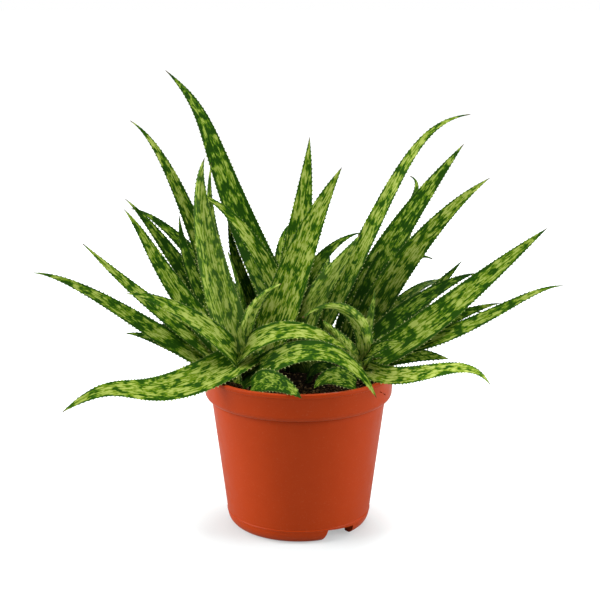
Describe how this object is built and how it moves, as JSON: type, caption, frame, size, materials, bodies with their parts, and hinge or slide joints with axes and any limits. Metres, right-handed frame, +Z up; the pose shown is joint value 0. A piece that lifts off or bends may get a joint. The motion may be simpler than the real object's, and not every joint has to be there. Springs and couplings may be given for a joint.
{
  "type": "potted aloe plant",
  "caption": "Bushy clump of spotted, toothed aloe leaves on short stems, in a round tapered plastic nursery pot filled with soil.",
  "frame": {"origin": "on the floor, at the middle of the outline seen from above, which is the axis of the pot", "axes": "+Z up. +X to the right when the front faces the viewer, along the widest spread of the leaves. -Y is the front."},
  "size_m": [0.315, 0.199, 0.28],
  "materials": {
    "pot": "satin moulded plastic, terracotta orange",
    "soil": "loose dark peat and bark",
    "stem": "pale, short fleshy stem",
    "leaf": "satin fleshy leaf, mottled light and dark green, pale teeth on the margins"
  },
  "bodies": {
    "root": {"pot": "pot", "soil": "soil", "stem_back_left": "stem", "stem_back_right": "stem", "stem_centre": "stem", "stem_left": "stem", "stem_right": "stem", "leaf_arch_lower": "leaf", "leaf_arch_upper": "leaf", "leaf_back_left_far": "leaf", "leaf_back_left_inner": "leaf", "leaf_back_left_low": "leaf", "leaf_back_left_side": "leaf", "leaf_back_left_tall": "leaf", "leaf_back_left_upright": "leaf", "leaf_back_right_broad": "leaf", "leaf_back_right_dark": "leaf", "leaf_back_right_hooked": "leaf", "leaf_back_right_short": "leaf", "leaf_back_right_tall": "leaf", "leaf_centre_arching": "leaf", "leaf_centre_behind": "leaf", "leaf_centre_broad": "leaf", "leaf_centre_channelled": "leaf", "leaf_centre_curved": "leaf", "leaf_centre_ribbon": "leaf", "leaf_centre_tallest": "leaf", "leaf_centre_upright": "leaf", "leaf_front_dark": "leaf", "leaf_left_bright": "leaf", "leaf_left_curled": "leaf", "leaf_left_inner": "leaf", "leaf_left_long": "leaf", "leaf_left_low": "leaf", "leaf_left_sliver": "leaf", "leaf_left_spotted": "leaf", "leaf_left_streaked": "leaf", "leaf_left_sweeping": "leaf", "leaf_left_upright": "leaf", "leaf_pup_left": "leaf", "leaf_pup_right": "leaf", "leaf_rear_centre_low": "leaf", "leaf_rear_centre_up": "leaf", "leaf_rear_left_far": "leaf", "leaf_rear_left_mid": "leaf", "leaf_rear_left_up": "leaf", "leaf_rear_right_far": "leaf", "leaf_rear_right_low": "leaf", "leaf_rear_right_side": "leaf", "leaf_right_big": "leaf", "leaf_right_dark": "leaf", "leaf_right_flat": "leaf", "leaf_right_hooked": "leaf", "leaf_right_long": "leaf", "leaf_right_middle": "leaf", "leaf_right_pale": "leaf", "leaf_right_rising": "leaf", "leaf_right_short": "leaf", "leaf_right_sweeping": "leaf", "leaf_right_thin": "leaf"}
  },
  "joints": []
}
